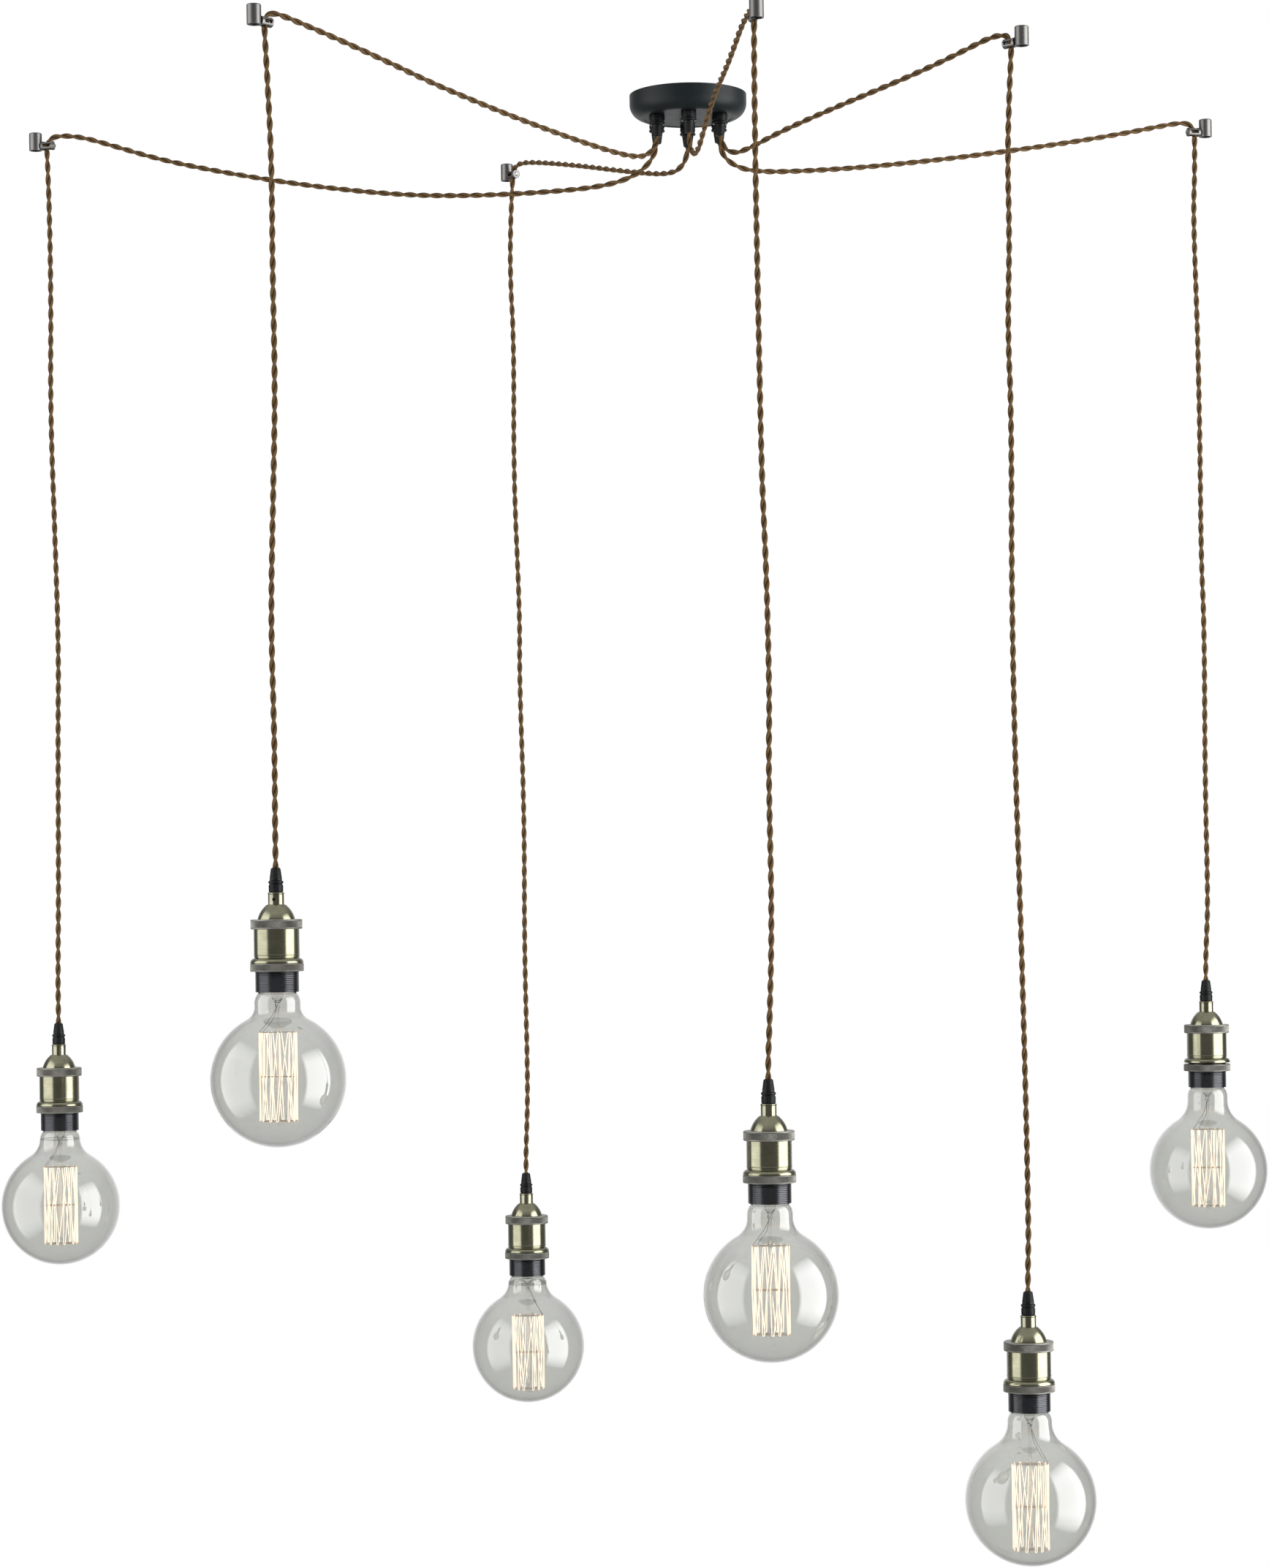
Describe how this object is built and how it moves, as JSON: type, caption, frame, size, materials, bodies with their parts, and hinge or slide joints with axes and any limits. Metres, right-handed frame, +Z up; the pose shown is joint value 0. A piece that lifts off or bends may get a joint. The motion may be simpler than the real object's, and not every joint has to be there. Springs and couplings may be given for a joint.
{
  "type": "swag pendant light",
  "caption": "Ceiling canopy with twisted fabric flexes swagged over ceiling hooks to turned brass lamp holders with clear globe filament lamps",
  "frame": {"origin": "on the ceiling plane, at the middle of the bracket's two ceiling screw holes, on the canopy's axis", "axes": "+Z up into the ceiling, +X to the right of the picture, -Y towards the viewer"},
  "size_m": [1.349, 0.86, 1.4645],
  "materials": {
    "canopy_black": "satin black paint",
    "bracket_steel": "zinc plated",
    "terminal_plastic": "moulded, plain",
    "grip_black": "moulded black, fine ribs",
    "hook_steel": "gunmetal grey, turned",
    "flex_fabric": "brown woven braid, two strands twisted",
    "antique_brass": "aged satin brass",
    "ring_pewter": "pewter grey, diamond knurl",
    "skirt_black_nickel": "black nickel, glossy",
    "lamp_glass": "clear",
    "lamp_metal": "nickelled cap, glass stem, fine wire"
  },
  "bodies": {
    "canopy": {"canopy_shell": "canopy_black", "mounting_bracket": "bracket_steel", "terminal_block": "terminal_plastic", "canopy_cord_grips": "grip_black", "ceiling_hooks": "hook_steel", "hook_clamp_screws": "hook_steel", "swag_cord_1": "flex_fabric", "swag_cord_2": "flex_fabric", "swag_cord_3": "flex_fabric", "swag_cord_4": "flex_fabric", "swag_cord_5": "flex_fabric", "swag_cord_6": "flex_fabric"},
    "pendant_1": {"drop_cord_1": "flex_fabric", "cord_grip_1": "grip_black", "holder_shell_1": "antique_brass", "union_ring_1": "ring_pewter", "socket_1": "skirt_black_nickel"},
    "ring_1": {"shade_ring_1": "ring_pewter"},
    "lamp_1": {"bulb_glass_1": "lamp_glass", "bulb_mount_1": "lamp_metal"},
    "pendant_2": {"drop_cord_2": "flex_fabric", "cord_grip_2": "grip_black", "holder_shell_2": "antique_brass", "union_ring_2": "ring_pewter", "socket_2": "skirt_black_nickel"},
    "ring_2": {"shade_ring_2": "ring_pewter"},
    "lamp_2": {"bulb_glass_2": "lamp_glass", "bulb_mount_2": "lamp_metal"},
    "pendant_3": {"drop_cord_3": "flex_fabric", "cord_grip_3": "grip_black", "holder_shell_3": "antique_brass", "union_ring_3": "ring_pewter", "socket_3": "skirt_black_nickel"},
    "ring_3": {"shade_ring_3": "ring_pewter"},
    "lamp_3": {"bulb_glass_3": "lamp_glass", "bulb_mount_3": "lamp_metal"},
    "pendant_4": {"drop_cord_4": "flex_fabric", "cord_grip_4": "grip_black", "holder_shell_4": "antique_brass", "union_ring_4": "ring_pewter", "socket_4": "skirt_black_nickel"},
    "ring_4": {"shade_ring_4": "ring_pewter"},
    "lamp_4": {"bulb_glass_4": "lamp_glass", "bulb_mount_4": "lamp_metal"},
    "pendant_5": {"drop_cord_5": "flex_fabric", "cord_grip_5": "grip_black", "holder_shell_5": "antique_brass", "union_ring_5": "ring_pewter", "socket_5": "skirt_black_nickel"},
    "ring_5": {"shade_ring_5": "ring_pewter"},
    "lamp_5": {"bulb_glass_5": "lamp_glass", "bulb_mount_5": "lamp_metal"},
    "pendant_6": {"drop_cord_6": "flex_fabric", "cord_grip_6": "grip_black", "holder_shell_6": "antique_brass", "union_ring_6": "ring_pewter", "socket_6": "skirt_black_nickel"},
    "ring_6": {"shade_ring_6": "ring_pewter"},
    "lamp_6": {"bulb_glass_6": "lamp_glass", "bulb_mount_6": "lamp_metal"}
  },
  "joints": [
    {"name": "pendant_1_swing", "type": "hinge", "parent": "canopy", "child": "pendant_1", "pos_m": [-0.681, 0.143, -0.02185], "axis": [1, 0, 0], "range_deg": [-20, 20]},
    {"name": "ring_1_wind", "type": "slide", "parent": "pendant_1", "child": "ring_1", "axis": [0, 0, -1], "range_m": [0, 0.016]},
    {"name": "lamp_1_draw", "type": "slide", "parent": "pendant_1", "child": "lamp_1", "axis": [0, 0, -1], "range_m": [0, 0.038]},
    {"name": "pendant_2_swing", "type": "hinge", "parent": "canopy", "child": "pendant_2", "pos_m": [-0.395, -0.4, -0.02185], "axis": [1, 0, 0], "range_deg": [-20, 20]},
    {"name": "ring_2_wind", "type": "slide", "parent": "pendant_2", "child": "ring_2", "axis": [0, 0, -1], "range_m": [0, 0.016]},
    {"name": "lamp_2_draw", "type": "slide", "parent": "pendant_2", "child": "lamp_2", "axis": [0, 0, -1], "range_m": [0, 0.038]},
    {"name": "pendant_3_swing", "type": "hinge", "parent": "canopy", "child": "pendant_3", "pos_m": [-0.191, 0.335, -0.02185], "axis": [1, 0, 0], "range_deg": [-20, 20]},
    {"name": "ring_3_wind", "type": "slide", "parent": "pendant_3", "child": "ring_3", "axis": [0, 0, -1], "range_m": [0, 0.016]},
    {"name": "lamp_3_draw", "type": "slide", "parent": "pendant_3", "child": "lamp_3", "axis": [0, 0, -1], "range_m": [0, 0.038]},
    {"name": "pendant_4_swing", "type": "hinge", "parent": "canopy", "child": "pendant_4", "pos_m": [0.055, -0.396, -0.02185], "axis": [1, 0, 0], "range_deg": [-20, 20]},
    {"name": "ring_4_wind", "type": "slide", "parent": "pendant_4", "child": "ring_4", "axis": [0, 0, -1], "range_m": [0, 0.016]},
    {"name": "lamp_4_draw", "type": "slide", "parent": "pendant_4", "child": "lamp_4", "axis": [0, 0, -1], "range_m": [0, 0.038]},
    {"name": "pendant_5_swing", "type": "hinge", "parent": "canopy", "child": "pendant_5", "pos_m": [0.304, -0.274, -0.02185], "axis": [1, 0, 0], "range_deg": [-20, 20]},
    {"name": "ring_5_wind", "type": "slide", "parent": "pendant_5", "child": "ring_5", "axis": [0, 0, -1], "range_m": [0, 0.016]},
    {"name": "lamp_5_draw", "type": "slide", "parent": "pendant_5", "child": "lamp_5", "axis": [0, 0, -1], "range_m": [0, 0.038]},
    {"name": "pendant_6_swing", "type": "hinge", "parent": "canopy", "child": "pendant_6", "pos_m": [0.543, 0.152, -0.02185], "axis": [1, 0, 0], "range_deg": [-20, 20]},
    {"name": "ring_6_wind", "type": "slide", "parent": "pendant_6", "child": "ring_6", "axis": [0, 0, -1], "range_m": [-0.0016, 0.0144]},
    {"name": "lamp_6_draw", "type": "slide", "parent": "pendant_6", "child": "lamp_6", "axis": [0, 0, -1], "range_m": [0, 0.038]}
  ]
}
